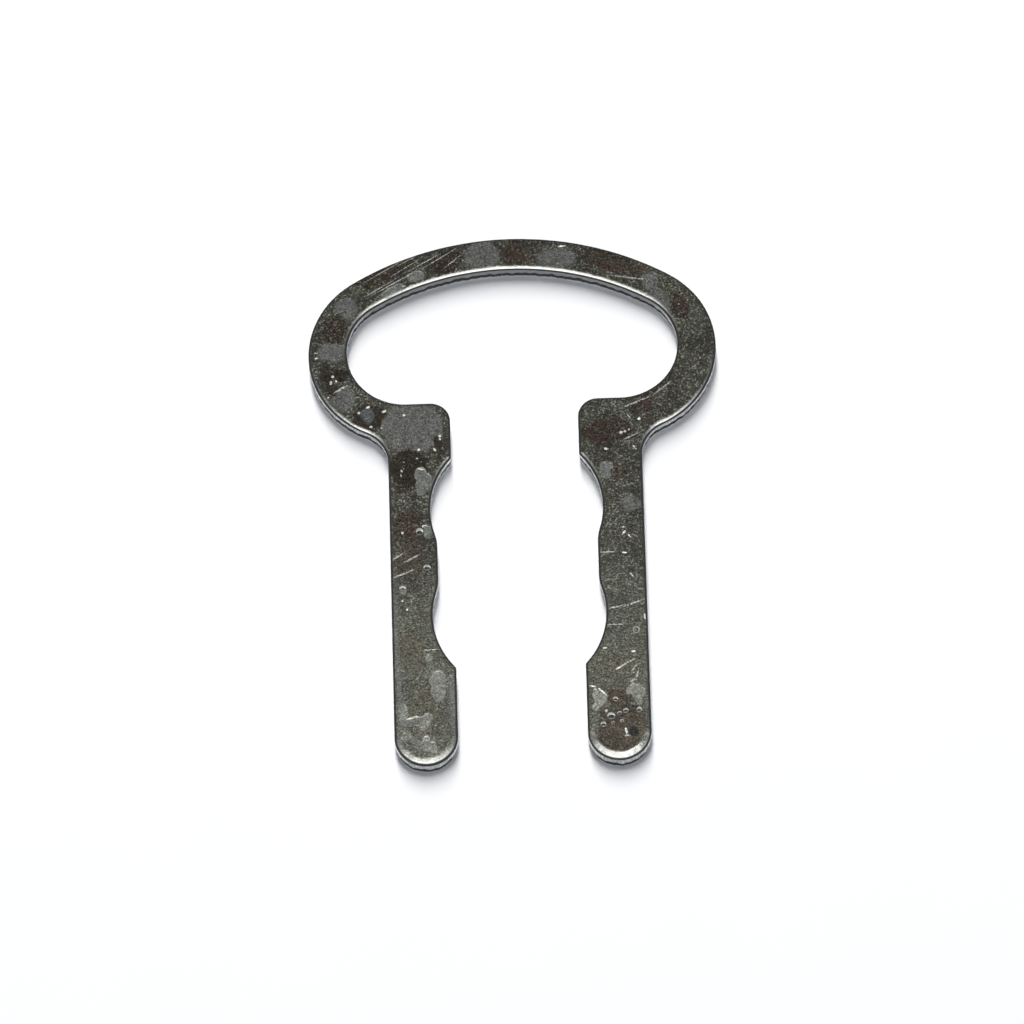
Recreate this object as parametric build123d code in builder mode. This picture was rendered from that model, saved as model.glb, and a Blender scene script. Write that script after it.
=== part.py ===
"""Safety clip: a flat omega-shaped spring clip, blanked in one stroke from spring-steel strip.

Units are millimetres. The clip lies flat: +Z is up and the sheet rests on z = 0, the loop points
to +Y and the leg tips to -Y. The origin is the middle of the overall length and width, on the
face that rests on the table. The outline is symmetric about the YZ plane.
"""
from build123d import *
import os
from math import acos, asin, cos, degrees, radians

# Sheet
sheet_thickness = 1.5

# Loop, the closed end that is the spring: a wide crown arc, then a tighter arc round each side.
# The band round it is a little wider at the sides, whose outer arcs stand further out by a shift.
crown_band = 2.70
side_band = 2.82
side_shift = 0.164
loop_crown_radius = 20.68
loop_side_radius = 4.58

# Shoulders under the loop, flat and then rounded down into the slot, and the neck outside them
shoulder_flat = 1.787
shoulder_radius = 1.54
neck_radius = 2.93

# Legs, from the shoulders to the full-round tips
slot_width = 9.93
leg_width = 4.86
shoulder_to_upper_seat = 9.22
seat_pitch = 9.00
lower_seat_to_tip = 12.62

# Two round seats for a grooved pin, and the land that parts them
seat_radius = 6.67
land_rise = 0.48

# Blanked edge: rolled rim on top, sheared wall, and a broken zone that runs inward below
roll_radius = 0.20
break_height = 0.45
break_inset = 0.08

# Outer arcs run round the loop's arcs at the width of the band
head_crown_radius = loop_crown_radius + crown_band
head_side_radius = loop_side_radius + side_band

# Stations across X, on the right half
slot_x = slot_width / 2
leg_outer_x = slot_x + leg_width
land_x = seat_radius - land_rise
flat_x = slot_x + shoulder_radius
loop_side_x = flat_x + shoulder_flat
head_side_x = loop_side_x + side_shift
neck_x = leg_outer_x + neck_radius

# Turns in degrees: a crown arc ends where it is tangent to its side arc, and the head's side arc
# ends where it is tangent to the neck, which runs down into the leg's straight side
loop_crown_turn = degrees(asin(loop_side_x / (loop_crown_radius - loop_side_radius)))
head_crown_turn = degrees(asin(head_side_x / (head_crown_radius - head_side_radius)))
neck_turn = degrees(acos((neck_x - head_side_x) / (head_side_radius + neck_radius)))
head_side_turn = 90 + neck_turn - head_crown_turn

# Stations along Y, stacked from the crown to the tips and centred on the origin
loop_crown_drop = (loop_crown_radius - loop_side_radius) * cos(radians(loop_crown_turn))
loop_height = loop_crown_radius - loop_crown_drop + loop_side_radius
leg_length = shoulder_to_upper_seat + seat_pitch + lower_seat_to_tip
overall_length = crown_band + loop_height + leg_length
crown_y = overall_length / 2
loop_top_y = crown_y - crown_band
shoulder_y = loop_top_y - loop_height
upper_seat_y = shoulder_y - shoulder_to_upper_seat
lower_seat_y = upper_seat_y - seat_pitch
tip_y = -overall_length / 2
tip_centre_y = tip_y + leg_width / 2

# Right half of the outline
with BuildSketch() as half_outline:
    # Head, neck, leg and full-round tip, closed on the axis
    with BuildLine():
        head_crown = JernArc((0, crown_y), (1, 0), head_crown_radius, -head_crown_turn)
        head_side = JernArc(head_crown @ 1, head_crown % 1, head_side_radius, -head_side_turn)
        neck = JernArc(head_side @ 1, head_side % 1, neck_radius, neck_turn)
        leg_side = Line(neck @ 1, (leg_outer_x, tip_centre_y))
        leg_tip = JernArc(leg_side @ 1, leg_side % 1, leg_width / 2, -180)
        Polyline(leg_tip @ 1, (0, tip_centre_y), (0, crown_y))
    make_face()
    # Open loop, rounded shoulder, and the slot between the legs
    with BuildLine():
        loop_crown = JernArc((0, loop_top_y), (1, 0), loop_crown_radius, -loop_crown_turn)
        loop_side = JernArc(loop_crown @ 1, loop_crown % 1, loop_side_radius, loop_crown_turn - 180)
        shoulder_edge = Line(loop_side @ 1, (flat_x, shoulder_y))
        shoulder = JernArc(shoulder_edge @ 1, shoulder_edge % 1, shoulder_radius, 90)
        Polyline(shoulder @ 1, (slot_x, tip_y), (0, tip_y), (0, loop_top_y))
    make_face(mode=Mode.SUBTRACT)
    # Seats in the slot's side, and the land between them
    with Locations((0, upper_seat_y), (0, lower_seat_y)):
        Circle(seat_radius, mode=Mode.SUBTRACT)
    with Locations((0, lower_seat_y)):
        Rectangle(land_x, seat_pitch, align=(Align.MIN, Align.MIN), mode=Mode.SUBTRACT)

# Whole blank, with its edges as the press leaves them
with BuildPart() as safety_clip:
    with BuildSketch():
        add(half_outline.sketch)
        mirror(about=Plane.YZ)
    extrude(amount=sheet_thickness)
    upper_face = safety_clip.faces().sort_by(Axis.Z)[-1]
    fillet(upper_face.edges(), roll_radius)
    lower_face = safety_clip.faces().sort_by(Axis.Z)[0]
    chamfer(lower_face.edges(), break_inset, break_height, reference=lower_face)

safety_clip.part.label = "safety_clip"

os.makedirs("parts", exist_ok=True)
export_step(safety_clip.part, "parts/safety_clip.step")
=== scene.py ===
from math import acos, asin, cos, pi, radians, sin, sqrt, tau
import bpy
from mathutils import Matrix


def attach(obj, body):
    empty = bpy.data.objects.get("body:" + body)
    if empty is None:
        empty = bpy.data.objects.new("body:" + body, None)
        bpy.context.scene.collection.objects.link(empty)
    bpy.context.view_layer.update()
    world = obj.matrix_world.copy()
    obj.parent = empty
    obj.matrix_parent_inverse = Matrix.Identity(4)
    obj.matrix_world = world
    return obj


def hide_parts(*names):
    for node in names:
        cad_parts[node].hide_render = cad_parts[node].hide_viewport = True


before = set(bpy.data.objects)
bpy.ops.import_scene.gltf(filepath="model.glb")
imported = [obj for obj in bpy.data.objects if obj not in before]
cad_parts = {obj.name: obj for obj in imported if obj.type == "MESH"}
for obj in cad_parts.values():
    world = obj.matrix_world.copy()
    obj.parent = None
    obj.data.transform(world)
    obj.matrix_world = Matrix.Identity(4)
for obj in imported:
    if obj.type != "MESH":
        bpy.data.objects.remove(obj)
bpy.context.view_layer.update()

from types import SimpleNamespace

import bpy
import numpy as np
from mathutils import Matrix, Vector, noise
from mathutils.geometry import delaunay_2d_cdt

# Sizes and places are in millimetres, and Blender's objects are in metres
MM = 0.001

# Blender's vector noise starts from the clock unless it is given a seed other than 0
noise_seed = 7
noise.seed_set(noise_seed)

# The clip's form, as blanked
sheet_thickness = 1.5
crown_band = 2.70
side_band = 2.82
side_shift = 0.164
loop_crown_radius = 20.68
loop_side_radius = 4.58
shoulder_flat = 1.787
shoulder_radius = 1.54
neck_radius = 2.93
slot_width = 9.93
leg_width = 4.86
shoulder_to_upper_seat = 9.22
seat_pitch = 9.00
lower_seat_to_tip = 12.62
seat_radius = 6.67
land_rise = 0.48

# Stations across and along the clip, and the turns of its arcs, that follow from the form
head_crown_radius = loop_crown_radius + crown_band
head_side_radius = loop_side_radius + side_band
slot_x = slot_width / 2
leg_outer_x = slot_x + leg_width
leg_x = slot_x + leg_width / 2
land_x = seat_radius - land_rise
flat_x = slot_x + shoulder_radius
loop_side_x = flat_x + shoulder_flat
head_side_x = loop_side_x + side_shift
neck_x = leg_outer_x + neck_radius
loop_crown_turn = asin(loop_side_x / (loop_crown_radius - loop_side_radius))
head_crown_turn = asin(head_side_x / (head_crown_radius - head_side_radius))
neck_turn = acos((neck_x - head_side_x) / (head_side_radius + neck_radius))
loop_crown_drop = (loop_crown_radius - loop_side_radius) * cos(loop_crown_turn)
loop_height = loop_crown_radius - loop_crown_drop + loop_side_radius
leg_length = shoulder_to_upper_seat + seat_pitch + lower_seat_to_tip
overall_length = crown_band + loop_height + leg_length
crown_y = overall_length / 2
loop_top_y = crown_y - crown_band
shoulder_y = loop_top_y - loop_height
upper_seat_y = shoulder_y - shoulder_to_upper_seat
lower_seat_y = upper_seat_y - seat_pitch
tip_y = -overall_length / 2
tip_centre_y = tip_y + leg_width / 2
seat_reach = sqrt(seat_radius ** 2 - slot_x ** 2)
land_reach = sqrt(seat_radius ** 2 - land_x ** 2)

# Points along the outline: their spacing, and how far its corners are eased. The land's corners are
# softer than the others, and that softness dies away from them over a short reach.
curve_step = 0.02
outline_step = 0.11
corner_softness = 0.06
land_softness = 0.40
land_softness_reach = 1.1

# The normals are eased too as the outline moves into the sheet, by a share of the way that it moves
least_normal_softness = 0.12
normal_softness_share = 0.85

# Rolled rim round the upper face. It is wider at the tips, where it is also worn flatter.
rim_width = 0.39
rim_drop = 0.18
left_tip_rim = 0.68
right_tip_rim = 0.65
tip_rim_drop = 0.25
left_tip_flat = 0.15
right_tip_flat = 0.85
tip_starts_above = 0.6
tip_blend = 1.2

# Burnished wall under the rim, then the broken zone, which steps in and ends in a thin burr
burnish_foot = 0.76
tip_burnish_foot = 0.53
wall_hollow = 0.004
broken_step = 0.02
broken_inset = 0.07
least_inset = 0.006
burr_height = 0.014
burr_width = 0.10
burr_run_out = 0.35

# Unevenness along the edge: the lengths of its waves, their height and the seed of their phases
rim_width_ripple = ((7, 3.1, 1.7), 0.02, 3)
rim_drop_ripple = ((9, 4.3), 0.01, 4)
long_foot_ripple = ((11, 5.2, 2.3), 0.05, 5)
short_foot_ripple = ((1.9, 1.2, 0.7), 0.12, 6)

# Roughness of the broken zone: the height that the noise is read over, and each grain's features per
# millimetre and its depth. The burr's lower edge has a grain of its own.
fracture_height = 0.6
coarse_fracture = (5.5, 0.03)
fine_fracture = (14.0, 0.016)
fine_fracture_layer = 7
burr_layer = 3.1
burr_grain = (4.0, 0.008)

# Rings of points across the edge: on the upper face, this far inside the rim, and then at shares of the
# way across the rim, down the wall, with the dark seam's strength there, and down the broken zone. The
# dark seam is painted shade: a near black line at the rim's outside and at the wall's foot.
upper_face_insets = (0.55, 0.28, 0.04)
rim_stations = (0.0, 0.12, 0.25, 0.38, 0.5, 0.6, 0.68, 0.74, 0.79, 0.84, 0.89, 0.94, 0.98, 1.0)
wall_seam = {0.03: 1.0, 0.07: 1.0, 0.12: 0.3, 0.18: 0, 0.4: 0, 0.6: 0, 0.8: 0, 0.9: 0.1, 0.95: 1.0, 1.0: 1.0}
broken_stations = (0.05, 0.14, 0.24, 0.34, 0.46, 0.58, 0.62, 0.66, 0.7, 0.78, 0.89, 1.0)

# The dark seam, which is painted shade, starts at this share of the rim's width, and further out where
# the edge faces the tips
seam_start = 0.55
seam_start_facing = 0.26
seam_start_tip = 0.2
seam_start_tip_facing = -0.25
seam_fade = 0.07

# The film is worn off the rim towards its outside, sooner where it is flat. The bare steel is also a
# painted highlight: it shows most where the edge faces the tips, and none where it faces the crown.
bare_gain = 1.2
bare_gain_flat = 3.3
least_bare = 0.22
bare_highlight_until_facing = 0.3

# The burr's light lip, near white, partly bare burr and partly a painted highlight, starts at this share of
# the way down the broken zone, and lower at the tips
lip_start = 0.62
lip_start_tip = 0.18
lip_fade = 0.08

# Points inside the two flat faces: their spacing, the pitch of their rows, and how near the ring they
# may come, both as shares of the spacing
upper_grid = 0.2
lower_grid = 1.5
row_pitch = 0.866
ring_clearance = 0.45
same_point = 1e-6
sharp_from_degrees = 42

# Outlines of stains: all of them fray, and the soft ones also sway. Each has its features per
# millimetre, its reach and the layer of noise that it is read from.
fray = (1.9, 0.2, 9.0)
sway = (0.8, 0.3, 3.0)

# Marks are only on the upper part of the sheet. A place with no mark near it is this far from one.
marks_above = 0.7
no_mark = 2.0
far_off = 9.0

# Camera, matched to the photograph, in millimetres and in pixels of a square picture
camera_elevation = radians(64.106)
object_turn = radians(-1.158)
camera_roll = radians(2.911)
camera_distance = 773.0
picture_size = 1024
pixels_per_mm = 12.947
view_centre = Vector((0.0, -0.576, 1.35))
off_centre_x = -4.425
off_centre_y = -7.825
sensor_width = 36.0
camera_reach = (0.05, 5.0)

# Table and room, and soft boxes with their place, width, depth and power, in metres and watts. The key
# light stands behind the clip and isn't mirrored in it. The low panel in front only shows mirrored.
table_half_side = 1.2
table_colour = (0.93, 0.93, 0.935, 1)
table_roughness = 0.9
table_specular = 0.1
key_box = ((-0.06, 0.73, 1.05), 0.2, 1.25, 19.5)
panel_box = ((0, -0.19, 0.38), 0.66, 0.42, 5.6)
room_colour = (0.238, 0.25, 0.268, 1)

# Marks on the upper face: the photograph's pixel at the middle of each, its half width and half height
# in pixels, and its turn in degrees anticlockwise. A pale patch has its lightness last, 0 to 1, and a
# brown stain its depth: it is tan up to 0.2, rusty from 0.4 and darkest at 1.
pale_patches = {
    "rim_fleck": (416, 276, 8, 6, 10, 0.3),
    "rim_strip": (393, 291, 14, 5, 27, 0.25),
    "left_pool": (420.5, 475, 6, 7, 0, 0.25),
    "left_pool_side": (425.5, 479.5, 6.5, 7.5, 0, 0.25),
    "left_pool_foot": (421, 487.5, 6, 7.5, 0, 0.25),
    "left_leg_drop": (428, 531.5, 5, 6, -10, 0.25),
    "left_leg_bead": (402.7, 590.5, 4, 4.4, 0, 0.4),
    "left_end_bead": (429, 659, 3.6, 4.4, 0, 0.6),
    "left_shield": (438, 681, 7.2, 10, 0, 0.6),
    "left_shield_foot": (438.6, 692, 7.0, 9.5, 4, 0.55),
    "left_shield_blob": (443.6, 693, 2.6, 2.6, 0, 1.0),
    "left_lobe": (403.8, 712, 4.2, 8, 0, 0.45),
    "left_lobe_foot": (403.5, 721, 4, 6, 0, 0.4),
    "left_end_glaze": (414, 722, 8, 4.6, 12, 0.25),
    "left_end_drop": (426.5, 720, 5.0, 6.5, -10, 0.65),
    "left_end_drop_foot": (424, 726.5, 4.6, 4.6, -15, 0.6),
    "left_end_low": (406, 736, 4.4, 5, -20, 0.45),
    "left_tip_pool": (433.5, 746.5, 4.2, 6, 0, 0.65),
    "left_tip_fleck": (426, 744, 3.6, 8, 0, 0.6),
    "right_pool": (606, 466, 6.2, 5.6, 0, 0.22),
    "right_pool_foot": (606.5, 473.5, 5.4, 6, 0, 0.22),
    "shell": (633, 689, 6.8, 6.2, 0, 0.6),
    "shell_side": (638.4, 692.2, 6, 7.6, 0, 0.6),
    "shell_tail": (639, 701.5, 3, 3, 0, 0.5),
    "leaf": (597.8, 697, 4.8, 10, 8, 0.75),
    "leaf_side": (602.4, 697, 4, 7, 20, 0.8),
    "leaf_foot": (596.6, 706, 3, 6, 0, 0.8),
}
soft_grey = {
    "crown_band": (483, 256, 17, 16, 8),
    "left_top": (346, 310, 12, 12, 0),
    "left_side": (332, 353, 15, 10.5, 0),
    "lower_head": (345, 400, 11, 12, -30),
    "left_shoulder": (412, 428, 31, 26, -8),
    "crown_right": (556, 258, 17, 10, 0),
    "right_head_top": (650, 282, 8, 9, -20),
    "right_head_low": (660, 299, 11, 8, -50),
    "left_leg_foot": (424, 744, 12, 10, 0),
    "left_leg_edge": (453.5, 700, 3.6, 32, 0),
    "left_leg_far_edge": (397, 660, 2.6, 60, 0),
    "right_leg_cloud": (632, 504, 8, 7.5, 0),
}
brown_stains = {
    "crown_left": (384, 272, 30, 12, 27, 0.85),
    "crown_left_dark": (446, 262, 21, 12, 18, 0.95),
    "crown_middle": (513, 254, 11, 12, 0, 0.55),
    "crown_sliver": (529, 253, 5, 11, 0, 0.5),
    "crown_right": (611, 262, 24, 10, -18, 0.5),
    "crown_far_right": (641, 271, 9, 6, -28, 0.5),
    "right_bend": (679, 307, 8, 14, 15, 0.7),
    "left_bend": (334, 328, 12, 15, -10, 0.85),
    "heart": (333, 376, 11, 9, 0, 0.8),
    "left_arch": (410, 463, 20, 15, 10, 0.9),
    "left_arch_foot": (402, 478, 10, 14, 0, 0.8),
    "left_leg_rust": (408, 527, 14, 17, 0, 0.6),
    "left_leg_land": (412, 560, 17, 17, 0, 0.32),
    "left_leg_low": (412, 650, 14, 22, 0, 0.2),
    "left_leg_mid": (424, 715, 16, 30, 0, 0.15),
    "right_shoulder": (607, 431, 27, 14, 5, 0.75),
    "right_neck": (643, 406, 12, 7, 20, 0.65),
    "right_leg_violet": (619, 474, 6, 8, 0, 0.6),
    "right_end": (622, 727, 26, 24, 0, 0.5),
    "right_end_top": (619, 697, 12, 9, 0, 0.45),
    "right_leg_low": (617, 666, 25, 15, 0, 0.2),
}
olive_stains = {
    "left_arch": (409, 468, 20, 18, 0),
    "shoulder_drop": (438.5, 446, 5.4, 10.5, 6),
    "ring_stain": (369.6, 416.5, 15.5, 13.5, 0),
    "ring_stain_left": (356, 421, 6, 5, 0),
    "heart_left": (325.5, 375, 6.5, 9.5, 10),
    "heart_right": (341, 375, 8, 7.5, 0),
    "heart_point": (331, 388, 6, 9.5, 20),
}
ring_core = {
    "ring_core": (368, 415.5, 7, 7.8, 0),
}
beads = {
    "seat_bubble": (419.6, 531.5, 3.5, 3.5, 0),
    "land_bead": (427.1, 567.5, 3.6, 2.8, -15),
    "foot_arc": (611.3, 715.6, 3.8, 3.4, -15),
    "foot_drop_1": (615.4, 698.8, 2.6, 2.1, -15),
    "foot_drop_2": (619.4, 712.8, 2.3, 1.6, 25),
    "foot_drop_3": (625.8, 710.2, 2.7, 2.2, 25),
    "foot_drop_4": (639.3, 709.2, 2.4, 2.5, 0),
    "foot_drop_5": (622, 720.6, 1.9, 1.5, 0),
    "foot_drop_6": (612.8, 722.4, 1.7, 1.5, 0),
    "foot_ring": (603.5, 724, 2.8, 2.5, 0),
    "left_leg_drop": (402.7, 588.5, 3.2, 2.4, 0),
}
drop_rings = {
    "leg_ring": (636.3, 629.6, 3.0, 2.9, 0),
    "left_foot_bubble": (427, 738.5, 2.4, 2.2, 0),
}
# Specks of bare steel, and painted glints: the lips of the pool and leaves, the drop lip and the comma
bright_specks = {
    "shoulder_1": (439.5, 436, 1.3, 1.3, 0),
    "shoulder_2": (440, 439.4, 1.3, 1.1, 0),
    "ring_1": (368, 407, 2.4, 1.0, 10),
    "ring_2": (358.5, 413, 1.5, 0.9, 30),
    "right_shoulder_1": (621, 432.4, 1.6, 1.5, 0),
    "right_shoulder_2": (639, 418.4, 1.5, 1.5, 0),
    "right_shoulder_3": (606, 448.8, 2.0, 1.4, 0),
    "right_shoulder_4": (629, 416.6, 0.9, 2.0, 25),
    "right_shoulder_5": (634.7, 447, 0.9, 2.0, 35),
    "right_shoulder_6": (625, 431.2, 1.2, 0.9, 0),
    "right_shoulder_7": (629, 429, 1.2, 0.9, 20),
    "ring_3": (384.3, 411.3, 1.8, 0.9, 30),
    "ring_4": (381.5, 428.5, 1.2, 1.2, 0),
    "ring_5": (371.5, 427, 1.6, 1.0, 0),
    "heart_1": (332.6, 377, 1.5, 1.8, 0),
    "heart_2": (336, 381.5, 1.6, 1.4, 0),
    "heart_3": (331, 383, 1.0, 1.8, 0),
    "heart_4": (328.3, 397.6, 1.5, 1.2, 30),
    "left_side_1": (315.5, 353.5, 2.6, 0.7, 0),
    "left_side_2": (316.5, 358.5, 2.2, 0.7, 0),
    "left_shoulder_1": (404, 415, 1.3, 0.9, 0),
    "left_shoulder_2": (435.2, 450, 1.0, 2.0, 30),
    "left_arch_1": (418.5, 450, 1.5, 1.0, 30),
    "left_arch_2": (417.5, 458.5, 1.3, 0.9, 0),
    "left_arch_3": (401, 476, 1.0, 1.4, 0),
    "left_leg_1": (402.3, 533, 1.3, 1.3, 0),
    "left_leg_2": (407, 610, 1.3, 1.2, 0),
    "left_leg_3": (402.5, 601, 1.1, 1.2, 0),
    "left_leg_4": (401.5, 471, 0.9, 1.6, 30),
    "right_leg_1": (623.6, 527, 2.2, 0.9, 0),
    "right_leg_2": (624, 532, 0.6, 3.0, -38),
    "right_leg_3": (629.7, 535.4, 0.6, 2.0, 35),
    "right_leg_4": (626, 552.4, 2.6, 0.9, -5),
    "right_leg_5": (631.5, 574, 0.65, 2.6, 40),
    "right_leg_6": (605.8, 647.6, 2.4, 1.0, 10),
    "right_leg_7": (633.5, 651.2, 2.2, 0.9, -12),
    "right_leg_8": (620, 667.4, 2.9, 0.8, 28),
    "edge_nick": (645.2, 617, 1.1, 2.6, 5),
    "crown_1": (562, 246, 3.0, 0.8, 0),
    "foot_speck": (606.4, 710.5, 1.4, 1.3, 0),
    "pool_lip": (420.8, 469.2, 4.6, 0.8, -14),
    "leaf_lip_1": (594.5, 686.4, 3.0, 0.35, -12),
    "leaf_lip_2": (602.6, 691.6, 4.6, 0.35, -48),
    "comma_side": (626.2, 731.3, 1.2, 3.4, 15),
    "comma_foot": (627.6, 735.3, 2.0, 1.0, 0),
    "drop_lip": (424.8, 525.6, 2.6, 0.7, 20),
}
scratches = {
    "head_1": (425, 262, 16, 0.45, 30),
    "head_2": (440, 258, 14, 0.4, 32),
    "head_3": (398, 281, 20, 0.45, 30),
    "head_4": (380, 288, 12, 0.4, 32),
    "head_5": (386, 270, 18, 0.35, 31),
    "crown_right_line": (629, 277.5, 15, 0.5, -10),
    "heart_arc": (340.5, 389.5, 7, 0.9, 30),
    "head_6": (412, 258, 15, 0.4, 30),
    "head_7": (405, 268, 12, 0.35, 32),
    "head_8": (452, 262, 9, 0.4, 40),
    "left_leg_1": (399, 556, 5.5, 0.6, 32),
    "left_leg_2": (412, 558.5, 8, 0.7, 28),
    "left_leg_3": (403, 574, 11, 0.8, 22),
    "left_leg_4": (431, 650, 8, 0.5, 0),
    "left_foot_line": (413.5, 717.6, 6, 0.9, 17),
    "right_leg_1": (616, 606.8, 8, 0.7, 12),
    "right_leg_2": (633, 603.2, 10, 0.7, 20),
    "right_leg_3": (615, 624.4, 8, 0.5, 0),
    "right_leg_4": (607, 552, 7, 0.6, 0),
    "right_leg_5": (626, 663.6, 9, 0.8, 30),
    "end_arc_1": (637.3, 675, 0.8, 4.6, -12),
    "end_arc_2": (633.5, 680.2, 3.2, 0.7, 25),
    "end_arc_3": (634.5, 667.5, 0.7, 3.6, -35),
    "right_neck_1": (662, 388, 10, 0.6, 38),
    "right_neck_2": (636, 402, 12, 0.6, 22),
    "right_neck_3": (631, 436, 9, 0.5, 25),
}
dark_star = {
    "right_leg_star_a": (631, 569.5, 4.6, 0.9, 45),
    "right_leg_star_b": (631, 569.5, 4.2, 0.8, -40),
    "right_end_disc": (634, 731.4, 4.6, 4.6, 0),
}

# Tone of a mark that gives none, and the share of its half height by which a bead is moved down to
# leave a painted highlight, a crescent of light, at its top
plain_tone = 0.5
crescent_share = 0.8

# How each kind of stain ends: how far its edge strays with the grit, and where its cover begins and is
# whole, in millimetres from its edge, negative inside
stain_edges = {
    "patch": (0.45, 0.02, -0.03),
    "olive": (0.6, 0.05, -0.08),
    "core": (0.6, 0.06, -0.1),
    "grey": (1.0, 0.2, -0.16),
    "brown": (1.0, 0.12, -0.12),
}

# The same for small marks
bead_foot = (0.11, 0.02)
bead_body = (0.02, -0.03)
bead_crescent = (-0.01, 0.03)
scratch_stray = 0.12
scratch_cover = (0.03, -0.015)
speck_stray = 0.4
speck_cover = (0.01, -0.035)
star_cover = (0.05, -0.03)

# Fine painted highlight lines along the edges of beads, rings and pale patches: how far from an edge they
# begin and are whole
edge_line = (0.05, 0.015)
ring_highlight_width = (0.06, 0.02)

# The lower face has none of the marks, so the places on it are read this far off to a side
clear_of_marks = 200.0
marks_fade = (0.7, 0.5)

# Features per metre of the film's noises, from the largest to the finest
cloud_scale = 420.0
rust_scale = 800.0
brown_scale = 1100.0
dust_scale = 2900.0
grit_scale = 3000.0
bits_scale = 7000.0
fine_scale = 7500.0
dots_scale = 9000.0
streak_scale = (9000, 9000, 700)
crisp_noise = 0.6
even_noise = 0.5

# Share of the finest grain in the straying of edges. The rest is grit.
fine_share = 0.25

# Ranges of a noise's value, mostly 0.3 to 0.7, over which each thing comes or goes
most_noise = (0.3, 0.7)
scratch_breaks = (0.34, 0.56)
fleck_range = (0.56, 0.64)
pit_range = (0.46, 0.36)
dots_range = (0.56, 0.68)
olive_range = (0.36, 0.6)
brown_range = (0.5, 0.64)
rust_range = (0.42, 0.66)
border_highlight_breaks = (0.4, 0.55)
tip_rub_breaks = (0.68, 0.3)

# Flecks and grains of dust grow with the clouds. A grain's size and soft edge are shares of its cell.
fleck_clouds = (0.35, 0.65)
fleck_thickness = (0.36, 0.7)
dust_clouds = (0.35, 0.7)
dust_size = (-0.16, 0.16)
dust_growth = (-0.06, 0.06)
dust_edge = (0.06, -0.06)

# Towards the tips the film turns lighter and greyer: partly thinner film, partly a painted sheen
wear_and_sheen_from = 0.0
wear_and_sheen_to = -14.0
wear_and_sheen_gain = 0.38
wear_and_sheen_grey = 0.3

# A brown stain's depth: over these ranges it darkens, turns from tan to rust and covers more
deepest = (0.5, 1.0)
tan_until = (0.2, 0.4)
cover_depths = (0.0, 0.7)
cover_by_depth = (0.35, 0.95)

# How strongly each thing covers what lies under it
brown_shows = 0.5
grey_shows = 0.85
olive_shows = 0.95
core_shows = 0.85
patch_shows = 0.85
border_highlight_shows = 0.2
bead_foot_shows = 0.65
star_shows = 0.85
rim_shows = 0.9

# How strongly each light mark shows: dust and scratches, and the painted highlights round beads and rings
dust_shows = 0.32
scratch_shows = 0.55
bead_highlight_shows = 0.12
ring_highlight_shows = 0.3

# How far each stain calms the film's flecks and pits
grey_calms = 0.55
patch_calms = 0.7
brown_calms = 0.4
olive_calms = 0.75
wear_and_sheen_calms = 0.15

# Grain of the film's colour: the noises as factors, and the shares that a pit takes and a dot adds
fine_contrast = (0.4, 1.6)
grit_contrast = (0.75, 1.25)
pit_gain = -0.55
dots_gain = 0.45

# How far the bare rim, partly a painted highlight, strays and where it begins and is whole, and the
# stretches along the clip where the tips' rims are rubbed dull and where the crown's wall turns shady
rim_stray = 0.5
rim_range = (0.1, 0.75)
tip_rub = (-18.5, -20.5)
crown_shade = (15.5, 17.0)

# Gloss: roughness from the finest grain, and what each thing adds to it
film_metal = 0.45
light_marks_metal = 0.8
gloss_grain = (0.2, 0.8)
gloss_range = (0.30, 0.48)
brown_roughness = -0.08
patch_roughness = 0.08
dark_edge_roughness = 0.5
rim_roughness = -0.06

# Relief in millimetres, and where the steps at the edges of patches, stains and beads are
patch_relief = 0.018
patch_step = (-0.04, 0.04)
olive_relief = 0.006
olive_step = (0.1, -0.1)
bead_relief = 0.03
bead_dome = (0.03, -0.16)
dust_relief = 0.008
scratch_relief = -0.008
fine_relief = 0.016
bits_relief = 0.008
film_bits_relief = 0.05
streak_relief = 0.010


def tone(red, green, blue):
    """A reflectance from a colour as it looks on screen, 0 to 255."""
    def linear(value):
        share = value / 255
        return share / 12.92 if value < 10.3 else ((share + 0.055) / 1.055) ** 2.4

    return (linear(red), linear(green), linear(blue), 1.0)


# Film, from its ground to its stains
olive_grey = tone(57, 58, 47)
deep_olive = tone(36, 36, 28)
brown = tone(54, 46, 35)
# Grey mixed in towards the tips: partly thinner film, partly a painted sheen
wear_and_sheen_tone = tone(93, 95, 84)
fleck_grey = tone(150, 150, 140)
shoulder_grey = tone(92, 92, 89)
rust = tone(64, 47, 36)
brown_deep = tone(40, 31, 21)
tan = tone(78, 73, 61)
stain_olive = tone(37, 30, 19)
patch_dim = tone(84, 89, 88)
patch_bright = tone(141, 141, 128)

# Small marks and the blank's edge
# Light grey of the specks, scratches and dust, and of the painted highlights and glints
speck_grey = tone(228, 228, 220)
mark_dark = tone(24, 32, 32)
rim_steel = tone(136, 136, 132)
rim_rubbed = tone(108, 109, 105)
wall_dull = tone(165, 166, 168)
wall_bright = tone(232, 233, 233)
wall_shaded = tone(150, 151, 153)
# Near black: dark oxide on the bead feet and in the broken zone, and painted shade in the dark seam and, in
# part, the broken zone
oxide_and_painted_shade = tone(20, 20, 19)
burr_grey_and_highlight = tone(238, 239, 240)


def arc(centre, radius, start, turn):
    """Points along an arc from the angle start, through turn radians."""
    count = max(3, int(abs(turn) * radius / curve_step))
    angles = start + turn * np.linspace(0, 1, count)
    return np.column_stack([centre[0] + radius * np.cos(angles), centre[1] + radius * np.sin(angles)])


def line(a, b):
    """Points along a straight edge."""
    a, b = np.array(a, float), np.array(b, float)
    count = max(3, int(np.linalg.norm(b - a) / curve_step))
    return a + (b - a) * np.linspace(0, 1, count)[:, None]


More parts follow.
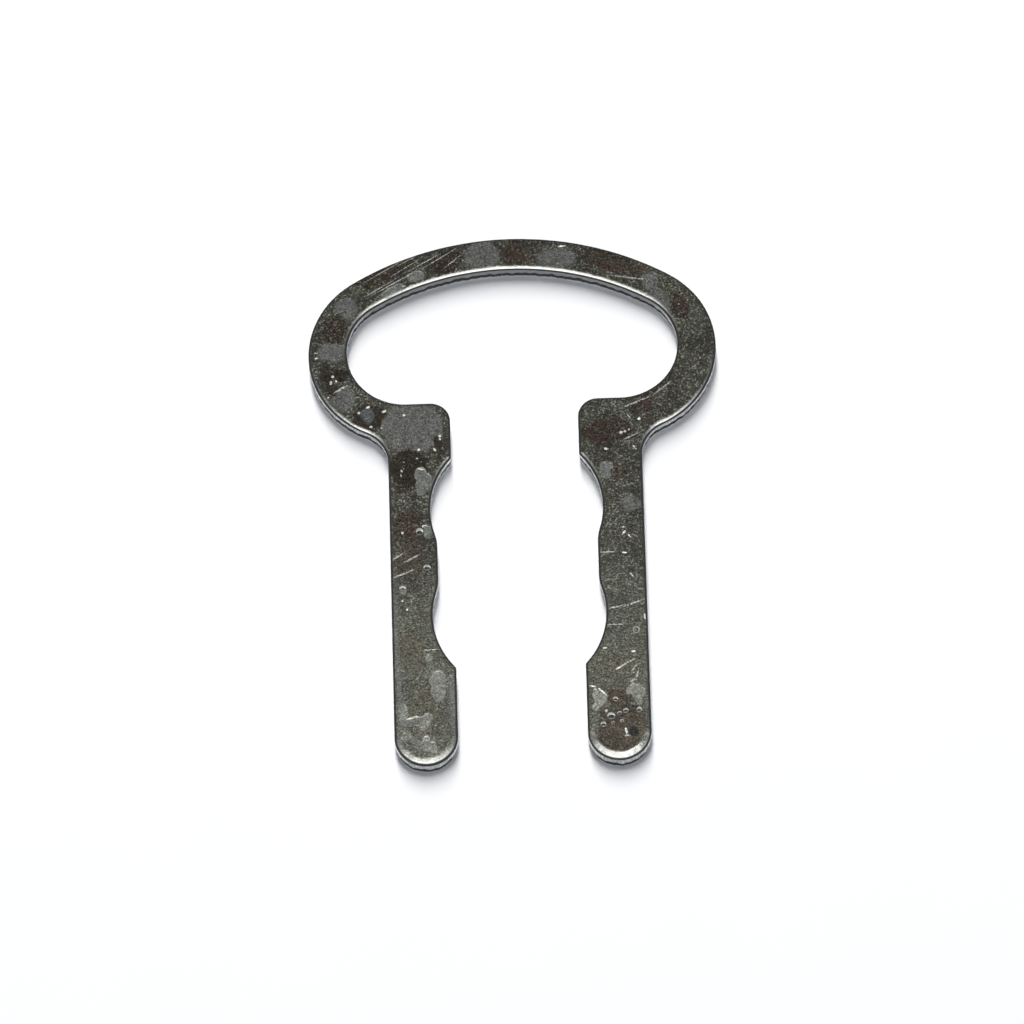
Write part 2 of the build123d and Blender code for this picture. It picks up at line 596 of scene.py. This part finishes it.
def right_half():
    """The outline's right half, from the top of the crown clockwise round to the top of the loop."""
    crown_centre = (0, crown_y - head_crown_radius)
    head_side_y = crown_centre[1] + (head_crown_radius - head_side_radius) * cos(head_crown_turn)
    head_side_turn = head_crown_turn - neck_turn - pi / 2
    neck_y = head_side_y - (head_side_radius + neck_radius) * sin(neck_turn)
    seat_angle = asin(seat_reach / seat_radius)
    land_angle = asin(land_reach / seat_radius)
    loop_side = (loop_side_x, shoulder_y + loop_side_radius)
    loop_crown = (0, loop_top_y - loop_crown_radius)
    parts = [
        arc(crown_centre, head_crown_radius, pi / 2, -head_crown_turn),
        arc((head_side_x, head_side_y), head_side_radius, pi / 2 - head_crown_turn, head_side_turn),
        arc((neck_x, neck_y), neck_radius, pi - neck_turn, neck_turn),
        line((leg_outer_x, neck_y), (leg_outer_x, tip_centre_y)),
        arc((leg_x, tip_centre_y), leg_width / 2, 0, -pi),
        line((slot_x, tip_centre_y), (slot_x, lower_seat_y - seat_reach)),
        arc((0, lower_seat_y), seat_radius, -seat_angle, seat_angle + land_angle),
        line((land_x, lower_seat_y + land_reach), (land_x, upper_seat_y - land_reach)),
        arc((0, upper_seat_y), seat_radius, -land_angle, land_angle + seat_angle),
        line((slot_x, upper_seat_y + seat_reach), (slot_x, shoulder_y - shoulder_radius)),
        arc((flat_x, shoulder_y - shoulder_radius), shoulder_radius, pi, -pi / 2),
        line((flat_x, shoulder_y), (loop_side_x, shoulder_y)),
        arc(loop_side, loop_side_radius, -pi / 2, pi - loop_crown_turn),
        arc(loop_crown, loop_crown_radius, pi / 2 - loop_crown_turn, loop_crown_turn),
    ]
    return np.vstack([part[:-1] for part in parts] + [parts[-1][-1:]])


def smooth_ring(values, sigma, step):
    """Gaussian smoothing of values round a closed ring."""
    reach = int(4 * sigma / step) + 1
    weights = np.exp(-0.5 * (np.arange(-reach, reach + 1) * step / sigma) ** 2)
    weights /= weights.sum()
    padded = np.concatenate([values[-reach:], values, values[:reach]])
    return np.apply_along_axis(lambda v: np.convolve(v, weights, "valid"), 0, padded)


def closed_outline():
    """Evenly spaced points of the whole outline, their outward normals and their distance along it."""
    half = right_half()
    other = (half * [-1, 1])[::-1][1:-1]
    path = np.vstack([half, other, half[:1]])
    length = np.concatenate([[0], np.cumsum(np.linalg.norm(np.diff(path, axis=0), axis=1))])
    count = int(length[-1] / outline_step)
    step = length[-1] / count
    s = np.arange(count) * step
    points = np.column_stack([np.interp(s, length, path[:, i]) for i in (0, 1)])
    crisp = smooth_ring(points, corner_softness, step)
    eased = smooth_ring(points, land_softness, step)
    away = np.full(count, far_off)
    for corner_y in (lower_seat_y + land_reach, upper_seat_y - land_reach):
        away = np.minimum(away, np.hypot(np.abs(points[:, 0]) - land_x, points[:, 1] - corner_y))
    blend = np.exp(-((away / land_softness_reach) ** 2))[:, None]
    points = crisp + (eased - crisp) * blend
    tangent = np.roll(points, -1, 0) - np.roll(points, 1, 0)
    tangent /= np.linalg.norm(tangent, axis=1)[:, None]
    normal = np.column_stack([-tangent[:, 1], tangent[:, 0]])
    return points, normal, s, length[-1]


def inward(points, normal, inset, step):
    """The outline moved into the sheet by an inset that may vary, its corners eased as it goes deeper."""
    softness = max(least_normal_softness, normal_softness_share * float(np.mean(inset)))
    eased = smooth_ring(normal, softness, step)
    eased /= np.linalg.norm(eased, axis=1)[:, None]
    return points - eased * inset[:, None]


def ripple(s, total, waves, amplitude, seed):
    """A smooth uneven wave round the ring: a few sines of whole periods with seeded phases."""
    rng = np.random.default_rng(seed)
    out = np.zeros_like(s)
    for wave in waves:
        count = round(total / wave)
        out += np.sin(tau * count * s / total + rng.uniform(0, tau)) * rng.uniform(0.5, 1.0)
    return out * amplitude / sqrt(len(waves))


class Rings:
    """Closed rings of points, each with its tags: how far its points belong to each part of the edge."""

    kinds = ("rim", "wall", "broken", "seam", "lip")

    def __init__(self, points, normal, step):
        self.points = points
        self.normal = normal
        self.step = step
        self.count = len(points)
        self.rings = []
        self.tags = []

    def add(self, inset, height, **tags):
        """One more ring, this far into the sheet from the outline and this high."""
        inset = np.broadcast_to(inset, self.count)
        height = np.broadcast_to(height, self.count)
        ring = inward(self.points, self.normal, inset, self.step)
        columns = [np.broadcast_to(tags.get(kind, 0.0), self.count) for kind in self.kinds]
        self.rings.append(np.column_stack([ring, height]))
        self.tags.append(np.column_stack(columns))

    def rough(self, layer, grain):
        """Noise along the outline, read from one layer: features per millimetre, and its height."""
        scale, depth = grain
        places = (Vector((x * scale, y * scale, layer * scale)) for x, y in self.points)
        return np.array([noise.noise(place) for place in places]) * depth

    def strips(self):
        """The faces between each ring and the next."""
        faces = []
        for k in range(len(self.rings) - 1):
            a, b = k * self.count, (k + 1) * self.count
            for i in range(self.count):
                j = (i + 1) % self.count
                faces.append((a + i, a + j, b + j, b + i))
        return faces


def edge_rings():
    """The blank's edge: rolled rim, burnished wall, broken zone and burr, from the top down."""
    points, normal, s, total = closed_outline()
    edge = Rings(points, normal, s[1])
    right = points[:, 0] > 0
    near_tip = np.clip((tip_centre_y + tip_starts_above - points[:, 1]) / tip_blend, 0, 1)
    near_tip = near_tip * near_tip * (3 - 2 * near_tip)
    facing = np.clip(-normal[:, 1], 0, 1)
    flat = np.where(right, right_tip_flat, left_tip_flat) * near_tip
    tip_rim = np.where(right, right_tip_rim, left_tip_rim)
    wide = rim_width + (tip_rim - rim_width) * near_tip + ripple(s, total, *rim_width_ripple)
    drop = rim_drop + (tip_rim_drop - rim_drop) * near_tip + ripple(s, total, *rim_drop_ripple)
    foot = burnish_foot + (tip_burnish_foot - burnish_foot) * near_tip
    foot = foot + ripple(s, total, *long_foot_ripple) + ripple(s, total, *short_foot_ripple)

    top = sheet_thickness
    for inset in upper_face_insets:
        edge.add(wide + inset, top)
    seam_from = seam_start + seam_start_facing * facing ** 2
    seam_from = seam_from + near_tip * (seam_start_tip + seam_start_tip_facing * facing ** 2)
    # Bare bright steel on the rim: partly wear, partly a painted highlight that grows where the edge faces
    # the tips
    wear_and_highlight = np.clip(least_bare + facing, 0, 1)
    for q in rim_stations:
        seam = np.clip((q - seam_from) / seam_fade, 0, 1)
        bare = np.minimum(1.0, q * (bare_gain + bare_gain_flat * flat)) * wear_and_highlight
        bare = bare * (normal[:, 1] < bare_highlight_until_facing)
        roll = (1 - flat) * (1 - sqrt(1 - q * q)) + flat * q
        edge.add(wide * (1 - q), top - drop * roll, rim=bare, seam=seam)
    for q, seam in wall_seam.items():
        edge.add(wall_hollow * sin(pi * q), (top - drop) * (1 - q) + foot * q, wall=1.0, seam=seam)
    for q in broken_stations:
        height = foot * (1 - q)
        inset = broken_step + (broken_inset - broken_step) * q
        layer = q * fracture_height
        jag = edge.rough(layer, coarse_fracture) + edge.rough(layer + fine_fracture_layer, fine_fracture)
        inset = np.clip(inset + jag * min(1, q * 2), least_inset, None)
        if q == 1.0:
            height = np.clip(edge.rough(burr_layer, burr_grain), 0, None)
        lip = np.clip((q - lip_start - lip_start_tip * near_tip) / lip_fade, 0, 1)
        edge.add(inset, height, broken=1.0, lip=lip)
    edge.add(broken_inset + burr_width, burr_height, broken=0.5)
    edge.add(broken_inset + burr_run_out, burr_height)
    return edge


def fill_face(ring, grid):
    """A flat face's inner points, on a grid, and its triangles, which count the ring's points first."""
    count = len(ring)
    low, high = ring.min(0), ring.max(0)
    spots = []
    row = 0
    y = low[1] + grid / 2
    while y < high[1]:
        xs = np.arange(low[0] + (grid / 2 if row % 2 else 0), high[0], grid)
        spots.append(np.column_stack([xs, np.full(len(xs), y)]))
        y += grid * row_pitch
        row += 1
    spots = np.vstack(spots)
    inside = np.zeros(len(spots), bool)
    nearest = np.full(len(spots), np.inf)
    for a, b in zip(ring, np.roll(ring, -1, 0)):
        crosses = (a[1] > spots[:, 1]) != (b[1] > spots[:, 1])
        if a[1] != b[1]:
            at = (b[0] - a[0]) * (spots[:, 1] - a[1]) / (b[1] - a[1]) + a[0]
            inside ^= crosses & (spots[:, 0] < at)
        nearest = np.minimum(nearest, (spots[:, 0] - a[0]) ** 2 + (spots[:, 1] - a[1]) ** 2)
    spots = spots[inside & (nearest > (grid * ring_clearance) ** 2)]
    coords = [Vector(p) for p in np.vstack([ring, spots])]
    edges = [(i, (i + 1) % count) for i in range(count)]
    _, _, tris, origin, _, _ = delaunay_2d_cdt(coords, edges, [tuple(range(count))], 1, same_point)
    order = [o[0] for o in origin]
    faces = []
    for face in tris:
        face = [order[v] for v in face]
        a, b, c = (coords[v] for v in face)
        if (b - a).cross(c - a) < 0:
            face = face[::-1]
        faces.append(tuple(face))
    return spots, faces


def placed(face, count, ring_start, inner_start):
    """A filled face's indices in the whole mesh, given where its ring and its inner points start."""
    return tuple(ring_start + v if v < count else inner_start + v - count for v in face)


def add_object(name, data):
    """A new object in the scene."""
    made = bpy.data.objects.new(name, data)
    bpy.context.scene.collection.objects.link(made)
    return made


def build_clip():
    """The blank as one closed mesh: its edge and both faces."""
    edge = edge_rings()
    count = edge.count
    verts = np.vstack(edge.rings)
    faces = edge.strips()
    spots, upper = fill_face(edge.rings[0][:, :2], upper_grid)
    faces += [placed(face, count, 0, len(verts)) for face in upper]
    verts = np.vstack([verts, np.column_stack([spots, np.full(len(spots), sheet_thickness)])])
    spots, lower = fill_face(edge.rings[-1][:, :2], lower_grid)
    last = (len(edge.rings) - 1) * count
    faces += [placed(reversed(face), count, last, len(verts)) for face in lower]
    verts = np.vstack([verts, np.column_stack([spots, np.full(len(spots), burr_height)])])

    mesh = bpy.data.meshes.new("clip_blank")
    mesh.from_pydata((verts * MM).tolist(), [], faces)
    mesh.validate()
    mark_points(mesh, verts, edge)
    piece = add_object("clip_blank", mesh)
    mesh.shade_smooth()
    mesh.set_sharp_from_angle(angle=radians(sharp_from_degrees))
    return piece


def waver(verts, settings):
    """How far the outlines of stains stray at each place, across and along the clip."""
    scale, distance, layer = settings
    places = (Vector((x * scale, y * scale, layer)) for x, y, z in verts)
    return np.array([noise.noise_vector(place) for place in places])[:, :2] * distance


def mark_points(mesh, verts, edge):
    """Gives each point its tags, and its distance to the nearest stain of each kind on the upper face."""
    values = np.zeros((len(verts), len(edge.kinds)))
    values[: len(edge.rings) * edge.count] = np.vstack(edge.tags)
    layers = dict(zip(edge.kinds, values.T))
    places = verts[:, :2] + waver(verts, fray)
    swayed = places + waver(verts, sway)
    layers["patch"], layers["patch_tone"] = reach(places, pale_patches)
    layers["olive"] = reach(places, olive_stains)[0]
    layers["core"] = reach(places, ring_core)[0]
    layers["grey"] = reach(swayed, soft_grey)[0]
    layers["brown"], layers["brown_depth"] = reach(swayed, brown_stains)
    below = verts[:, 2] < marks_above
    for name in stain_edges:
        layers[name] = np.where(below, no_mark, layers[name])
    for name, column in layers.items():
        layer = mesh.attributes.new(name, "FLOAT", "POINT")
        layer.data.foreach_set("value", column.astype(np.float32))


def camera_axes():
    """The camera's right, up and backward directions in the clip's frame."""
    x = Vector((cos(object_turn), -sin(object_turn), 0))
    y = Vector((sin(object_turn), cos(object_turn), 0))
    up = y * sin(camera_elevation) + Vector((0, 0, cos(camera_elevation)))
    back = Vector((0, 0, sin(camera_elevation))) - y * cos(camera_elevation)
    right = x * cos(camera_roll) - up * sin(camera_roll)
    up = x * sin(camera_roll) + up * cos(camera_roll)
    return right, up, back


def camera_aim():
    """The point that the camera looks at, off the view's centre as the photograph is framed."""
    right, up, _ = camera_axes()
    return view_centre + (right * off_centre_x + up * off_centre_y) / pixels_per_mm


def on_sheet(px, py):
    """The place on the upper face, in millimetres, that a pixel of the photograph shows."""
    right, up, back = camera_axes()
    middle = picture_size / 2
    ray = (right * (px - middle) + up * (middle - py)) / pixels_per_mm - back * camera_distance
    eye = camera_aim() + back * camera_distance
    spot = eye + ray * ((sheet_thickness - eye.z) / ray.z)
    return spot.x, spot.y


def ellipse(mark):
    """A mark's middle, half width and half height on the upper face in millimetres."""
    px, py, half_x, half_y = mark[:4]
    x, y = on_sheet(px, py)
    return x, y, half_x / pixels_per_mm, half_y / pixels_per_mm / sin(camera_elevation)


def reach(places, marks):
    """For each place, millimetres to the edge of the nearest mark, negative inside, and its tone."""
    best = np.full(len(places), far_off)
    tones = np.zeros(len(places))
    for mark in marks.values():
        x, y, wide, high = ellipse(mark)
        turn = radians(mark[4])
        dx, dy = places[:, 0] - x, places[:, 1] - y
        u = (dx * cos(turn) + dy * sin(turn)) / wide
        v = (dy * cos(turn) - dx * sin(turn)) / high
        away = (np.hypot(u, v) - 1) * min(wide, high)
        nearer = away < best
        best[nearer] = away[nearer]
        tones[nearer] = mark[5] if len(mark) > 5 else plain_tone
    return best, tones


def lowered(marks):
    """The marks moved down by a share of their height, so that what they leave bare is a crescent, a painted
    highlight.
    """
    return {name: (m[0], m[1] + crescent_share * m[3], *m[2:]) for name, m in marks.items()}


class Tree:
    """A small helper that adds shader nodes and joins them."""

    def __init__(self, name):
        self.material = bpy.data.materials.new(name)
        self.material.use_nodes = True
        self.tree = self.material.node_tree
        self.tree.nodes.clear()

    def node(self, kind, **settings):
        made = self.tree.nodes.new("ShaderNode" + kind)
        for key, value in settings.items():
            setattr(made, key, value)
        return made

    def put(self, socket, value):
        """Joins a socket to another node's, or gives it a plain value."""
        if isinstance(value, bpy.types.NodeSocket):
            self.tree.links.new(value, socket)
        elif value is not None:
            socket.default_value = value

    def fill(self, made, *values):
        """Puts values in a node's first sockets, and gives its first output."""
        for socket, value in zip(made.inputs, values):
            self.put(socket, value)
        return made.outputs[0]

    def math(self, operation, a, b=None, c=None):
        return self.fill(self.node("Math", operation=operation), a, b, c)

    def part(self, mask, share):
        """A mask at a share of its strength, or only where another mask is."""
        return self.math("MULTIPLY", mask, share)

    def plus(self, value, mask, gain):
        """A value with a gain added where the mask is."""
        return self.math("MULTIPLY_ADD", mask, gain, value)

    def times(self, value, mask, gain):
        """A value that grows by a share, the gain, where the mask is."""
        return self.part(value, self.plus(1.0, mask, gain))

    def most(self, first, *others):
        """The greatest of several values."""
        for other in others:
            first = self.math("MAXIMUM", first, other)
        return first

    def vector(self, operation, a, b=None, scale=None):
        made = self.node("VectorMath", operation=operation)
        self.fill(made, a, b)
        if operation == "SCALE":
            self.put(made.inputs["Scale"], scale)
        return made.outputs["Value" if operation in ("LENGTH", "DOT_PRODUCT") else "Vector"]

    def noise(self, at, scale, detail=2.0, rough=crisp_noise):
        made = self.node("TexNoise")
        self.put(made.inputs["Vector"], at)
        self.put(made.inputs["Scale"], scale)
        self.put(made.inputs["Detail"], detail)
        self.put(made.inputs["Roughness"], rough)
        return made.outputs["Fac"]

    def step(self, value, low, high):
        """0 below low and 1 above high, smooth between; low over high turns it round."""
        made = self.node("MapRange", interpolation_type="SMOOTHSTEP")
        return self.fill(made, value, low, high, 0.0, 1.0)

    def scaled(self, value, low, high, to_low, to_high):
        """A value from low to high, brought in proportion to the range from to_low to to_high."""
        return self.fill(self.node("MapRange"), value, low, high, to_low, to_high)

    def mix(self, factor, a, b, kind="MIX"):
        made = self.node("Mix", data_type="RGBA", blend_type=kind)
        self.put(made.inputs[0], factor)
        self.put(made.inputs[6], a)
        self.put(made.inputs[7], b)
        return made.outputs[2]

    def shaded(self, colour, value):
        """A colour times one value."""
        grey = self.fill(self.node("CombineColor"), value, value, value)
        return self.mix(1.0, colour, grey, "MULTIPLY")

    def attribute(self, name):
        return self.node("Attribute", attribute_name=name).outputs["Fac"]

    def finish(self, shader):
        """Joins the shader to the material's surface."""
        out = self.node("OutputMaterial")
        self.put(out.inputs[0], shader.outputs[0])
        return self.material


def to_nearest(t, at, marks):
    """Nodes for the millimetres to the edge of the nearest of some small marks, negative inside it."""
    nearest = None
    for turn in sorted({mark[4] for mark in marks.values()}):
        c, s = cos(radians(turn)), sin(radians(turn))
        turned = at
        if turn:
            across = t.vector("DOT_PRODUCT", at, (c, s, 0))
            turned = t.fill(t.node("CombineXYZ"), across, t.vector("DOT_PRODUCT", at, (-s, c, 0)))
        for mark in marks.values():
            if mark[4] != turn:
                continue
            x, y, wide, high = ellipse(mark)
            u, v = x * c + y * s, y * c - x * s
            place = t.node("VectorMath", operation="MULTIPLY_ADD")
            place = t.fill(place, turned, (1 / wide, 1 / high, 0), (-u / wide, -v / high, 0))
            size = min(wide, high)
            away = t.plus(-size, t.vector("LENGTH", place), size)
            nearest = away if nearest is None else t.math("MINIMUM", nearest, away)
    return nearest


def film_noise(t):
    """The places where the film and its marks are read, and its noise at three scales."""
    where = t.node("TexCoord").outputs["Object"]
    axes = t.node("SeparateXYZ")
    t.fill(axes, where)
    _, along, height = axes.outputs
    below = t.step(height, marks_fade[0] * MM, marks_fade[1] * MM)
    aside = t.fill(t.node("CombineXYZ"), t.part(below, clear_of_marks))
    film = SimpleNamespace(where=where, along=along)
    film.at = t.vector("ADD", t.vector("SCALE", where, scale=1 / MM), aside)
    film.fine = t.noise(where, fine_scale)
    film.grit = t.noise(where, grit_scale)
    film.cloud = t.noise(where, cloud_scale, 3.0)
    both = t.plus(t.part(film.grit, 1 - fine_share), film.fine, fine_share)
    film.wobble = t.math("SUBTRACT", both, 0.5)
    return film


def stain_masks(t, film):
    """For each kind of stain, the millimetres to its frayed edge, and a mask that is 1 inside it."""
    edges, masks = {}, {}
    for name, (stray, begins, whole) in stain_edges.items():
        edges[name] = t.plus(t.attribute(name), film.wobble, stray)
        masks[name] = t.step(edges[name], begins, whole)
    return SimpleNamespace(**edges), SimpleNamespace(**masks)


def small_marks(t, film):
    """Masks of the beads with their painted highlight crescents, scratches, specks and glints, dark marks,
    and the distance to the nearest bead's edge.
    """
    marks = SimpleNamespace(bead_edge=to_nearest(t, film.at, beads))
    marks.bead_ring = t.step(marks.bead_edge, *bead_foot)
    crescent = t.step(to_nearest(t, film.at, lowered(beads)), *bead_crescent)
    marks.glint = t.part(t.step(marks.bead_edge, *bead_body), crescent)
    line_edge = t.plus(to_nearest(t, film.at, scratches), film.wobble, scratch_stray)
    marks.scratch = t.part(t.step(line_edge, *scratch_cover), t.step(film.fine, *scratch_breaks))
    speck_edge = t.plus(to_nearest(t, film.at, bright_specks), film.wobble, speck_stray)
    marks.speck = t.step(speck_edge, *speck_cover)
    marks.star = t.step(to_nearest(t, film.at, dark_star), *star_cover)
    return marks


def film_grains(t, film):
    """Flecks and pits of the film, dots, and round grains of dust that catch the light."""
    grains = SimpleNamespace(bits=t.noise(film.where, bits_scale))
    thickness = t.scaled(film.cloud, *fleck_clouds, *fleck_thickness)
    grains.fleck = t.part(t.step(grains.bits, *fleck_range), thickness)
    grains.pit = t.step(grains.bits, *pit_range)
    grains.dots = t.step(t.noise(film.where, dots_scale, 1.0, even_noise), *dots_range)
    cells = t.node("TexVoronoi", feature="F1")
    t.put(cells.inputs["Vector"], film.where)
    t.put(cells.inputs["Scale"], dust_scale)
    chance = t.fill(t.node("SeparateColor"), cells.outputs["Color"])
    size = t.scaled(chance, 0.0, 1.0, *dust_size)
    size = t.math("ADD", size, t.scaled(film.cloud, *dust_clouds, *dust_growth))
    grains.dust = t.step(t.math("SUBTRACT", cells.outputs["Distance"], size), *dust_edge)
    grains.thin = t.step(film.along, wear_and_sheen_from * MM, wear_and_sheen_to * MM)
    return grains


def stained_ground(t, film, masks, grains):
    """The film's own colour, with the soft, brown and olive stains on it."""
    depth = t.attribute("brown_depth")
    ground = t.mix(t.step(film.cloud, *olive_range), deep_olive, olive_grey)
    browner = t.step(t.noise(film.where, brown_scale, rough=even_noise), *brown_range)
    ground = t.mix(t.part(browner, brown_shows), ground, brown)
    ground = t.mix(t.part(grains.thin, wear_and_sheen_grey), ground, wear_and_sheen_tone)
    rusty = t.mix(t.step(t.noise(film.where, rust_scale, rough=even_noise), *rust_range), brown, rust)
    rusty = t.mix(t.scaled(depth, *deepest, 0.0, 1.0), rusty, brown_deep)
    rusty = t.mix(t.scaled(depth, *tan_until, 1.0, 0.0), rusty, tan)
    cover = t.scaled(depth, *cover_depths, *cover_by_depth)
    colour = t.mix(t.part(masks.grey, grey_shows), ground, shoulder_grey)
    colour = t.mix(t.part(masks.brown, cover), colour, rusty)
    colour = t.mix(t.part(masks.olive, olive_shows), colour, stain_olive)
    return t.mix(t.part(masks.core, core_shows), colour, patch_dim)


def film_colour(t, film, edges, masks, grains):
    """The stained film with its grain, pale patches and flecks, a painted highlight along the patches'
    edges, and how lively its grain is.
    """
    colour = stained_ground(t, film, masks, grains)
    calm = t.most(
        t.part(masks.grey, grey_calms), t.part(masks.patch, patch_calms), masks.core,
        t.part(masks.brown, brown_calms), t.part(masks.olive, olive_calms), t.part(grains.thin, wear_and_sheen_calms))
    lively = t.math("SUBTRACT", 1.0, calm)
    grain = t.scaled(film.fine, *most_noise, *fine_contrast)
    grain = t.part(grain, t.scaled(film.grit, *most_noise, *grit_contrast))
    grain = t.times(grain, t.part(grains.pit, lively), pit_gain)
    grain = t.times(grain, grains.dots, dots_gain)
    # Lighter towards the tips, partly a painted sheen
    colour = t.shaded(colour, t.times(grain, grains.thin, wear_and_sheen_gain))
    pale = t.shaded(t.mix(t.attribute("patch_tone"), patch_dim, patch_bright), grain)
    colour = t.mix(t.part(masks.patch, patch_shows), colour, pale)
    colour = t.mix(t.part(grains.fleck, lively), colour, fleck_grey)
    # Painted highlight: a broken light line along the pale patches' edges
    border_highlight = t.part(t.step(t.math("ABSOLUTE", edges.patch), *edge_line), t.step(film.grit, *border_highlight_breaks))
    return t.mix(t.part(border_highlight, border_highlight_shows), colour, speck_grey), lively


def marked_colour(t, film, marks, grains, colour):
    """The film with its small marks, some of them painted highlights, and how strongly the light ones show
    at each place.
    """
    colour = t.mix(t.part(marks.bead_ring, bead_foot_shows), colour, oxide_and_painted_shade)
    # Painted highlights: light lines round the beads' and rings' edges
    bead_edge_highlight = t.step(t.math("ABSOLUTE", marks.bead_edge), *edge_line)
    ring_highlight = t.step(t.math("ABSOLUTE", to_nearest(t, film.at, drop_rings)), *ring_highlight_width)
    lit = t.most(
        t.part(grains.dust, dust_shows), t.part(marks.scratch, scratch_shows),
        t.part(bead_edge_highlight, bead_highlight_shows), t.part(ring_highlight, ring_highlight_shows), marks.speck, marks.glint)
    colour = t.mix(lit, colour, speck_grey)
    return t.mix(t.part(marks.star, star_shows), colour, mark_dark), lit


def edge_colour(t, film, colour):
    """The blank's edge: bare bright rim, partly a painted highlight; dark seam, painted shade; burnished
    wall; dark fracture, partly oxide and partly painted shade; and burr, partly a painted highlight.
    """
    wall, broken, seam, lip = (t.attribute(name) for name in ("wall", "broken", "seam", "lip"))
    rim = t.step(t.plus(t.attribute("rim"), film.wobble, rim_stray), *rim_range)
    tip = t.part(t.step(film.along, tip_rub[0] * MM, tip_rub[1] * MM), t.step(film.grit, *tip_rub_breaks))
    colour = t.mix(t.part(rim, rim_shows), colour, t.mix(tip, rim_steel, rim_rubbed))
    stretch = t.node("Mapping")
    t.put(stretch.inputs["Scale"], streak_scale)
    streak = t.noise(t.fill(stretch, film.where), 1.0)
    wall_colour = t.mix(t.scaled(streak, *most_noise, 0.0, 1.0), wall_dull, wall_bright)
    in_shade = t.step(film.along, crown_shade[0] * MM, crown_shade[1] * MM)
    colour = t.mix(wall, colour, t.mix(in_shade, wall_colour, wall_shaded))
    # The broken zone's near black is partly dark oxide and partly painted shade, the shadowed floor that it
    # mirrors
    colour = t.mix(broken, colour, oxide_and_painted_shade)
    # The lip's near white is partly bare burr and partly a painted highlight
    colour = t.mix(lip, colour, burr_grey_and_highlight)
    # Painted shade: the dark seam along the rim's outside and the wall's foot
    colour = t.mix(seam, colour, oxide_and_painted_shade)
    dark = t.most(seam, broken)
    return colour, SimpleNamespace(rim=rim, wall=wall, dark=dark, streak=streak)


def film_gloss(t, film, masks, edge, lit):
    """How metallic and how rough each place is."""
    bright = t.most(edge.rim, edge.wall, t.part(lit, light_marks_metal), film_metal)
    metal = t.part(bright, t.math("SUBTRACT", 1.0, edge.dark))
    dull = t.scaled(film.fine, *gloss_grain, *gloss_range)
    dull = t.plus(dull, masks.brown, brown_roughness)
    dull = t.plus(dull, masks.patch, patch_roughness)
    dull = t.plus(dull, edge.dark, dark_edge_roughness)
    return metal, t.plus(dull, edge.rim, rim_roughness)


def film_relief(t, film, edges, marks, grains, edge, lively):
    """Height in millimetres of the film's edges, domed beads, scratches and grit."""
    relief = t.part(t.step(edges.patch, *patch_step), patch_relief)
    relief = t.plus(relief, t.step(edges.olive, *olive_step), olive_relief)
    relief = t.plus(relief, t.step(marks.bead_edge, *bead_dome), bead_relief)
    relief = t.plus(relief, grains.dust, dust_relief)
    relief = t.plus(relief, marks.scratch, scratch_relief)
    relief = t.plus(relief, film.fine, fine_relief)
    on_film = t.part(lively, t.math("SUBTRACT", 1.0, edge.rim))
    relief = t.plus(relief, grains.bits, t.plus(bits_relief, on_film, film_bits_relief))
    return t.plus(relief, t.part(edge.streak, edge.wall), streak_relief)


def steel():
    """Blackened, oiled spring steel: oil stains, bare grey patches, beads, scratches and worn edges, with
    painted highlights on beads, patch edges, rims and burr, and painted shade in the edge's dark seam.
    """
    t = Tree("blackened_steel")
    film = film_noise(t)
    edges, masks = stain_masks(t, film)
    marks = small_marks(t, film)
    grains = film_grains(t, film)
    colour, lively = film_colour(t, film, edges, masks, grains)
    colour, lit = marked_colour(t, film, marks, grains, colour)
    colour, edge = edge_colour(t, film, colour)
    metal, dull = film_gloss(t, film, masks, edge, lit)
    bump = t.node("Bump")
    t.put(bump.inputs["Strength"], 1.0)
    t.put(bump.inputs["Distance"], MM)
    t.put(bump.inputs["Height"], film_relief(t, film, edges, marks, grains, edge, lively))
    shader = t.node("BsdfPrincipled")
    t.put(shader.inputs["Base Color"], colour)
    t.put(shader.inputs["Metallic"], metal)
    t.put(shader.inputs["Roughness"], dull)
    t.put(shader.inputs["Normal"], bump.outputs[0])
    return t.finish(shader)


def floor_material():
    """Pale matt floor."""
    t = Tree("pale_floor")
    shader = t.node("BsdfPrincipled")
    t.put(shader.inputs["Base Color"], table_colour)
    t.put(shader.inputs["Roughness"], table_roughness)
    t.put(shader.inputs["Specular IOR Level"], table_specular)
    return t.finish(shader)


def make_floor():
    """The table that the clip lies on."""
    side = table_half_side
    mesh = bpy.data.meshes.new("table")
    corners = [(-side, -side, 0), (side, -side, 0), (side, side, 0), (-side, side, 0)]
    mesh.from_pydata(corners, [], [(0, 1, 2, 3)])
    table = add_object("table", mesh)
    mesh.materials.append(floor_material())


def make_camera():
    """The camera, at the photograph's angle and distance."""
    right, up, back = camera_axes()
    data = bpy.data.cameras.new("camera")
    data.sensor_width = sensor_width
    data.lens = sensor_width * camera_distance * pixels_per_mm / picture_size
    data.clip_start, data.clip_end = camera_reach
    camera = add_object("camera", data)
    turn = Matrix((right, up, back)).transposed().to_4x4()
    camera.matrix_world = Matrix.Translation((camera_aim() + back * camera_distance) * MM) @ turn
    bpy.context.scene.camera = camera


def soft_light(name, place, width, depth, power):
    """A soft box that points at the clip and isn't itself seen."""
    data = bpy.data.lights.new(name, "AREA")
    data.shape = "RECTANGLE"
    data.size, data.size_y = width, depth
    data.energy = power
    light = add_object(name, data)
    light.location = place
    to_clip = Vector((0, 0, 0)) - Vector(place)
    light.rotation_euler = to_clip.to_track_quat("-Z", "Y").to_euler()
    light.visible_camera = False
    return light


clip = build_clip()
clip.data.materials.append(steel())
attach(clip, "root")
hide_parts("safety_clip")

make_floor()
make_camera()
key = soft_light("key", *key_box)
key.visible_glossy = False
panel = soft_light("panel", *panel_box)
panel.visible_diffuse = False

world = bpy.data.worlds.new("room")
bpy.context.scene.world = world
world.use_nodes = True
world.node_tree.nodes["Background"].inputs[0].default_value = room_colour

bpy.context.scene.view_settings.view_transform = "Standard"
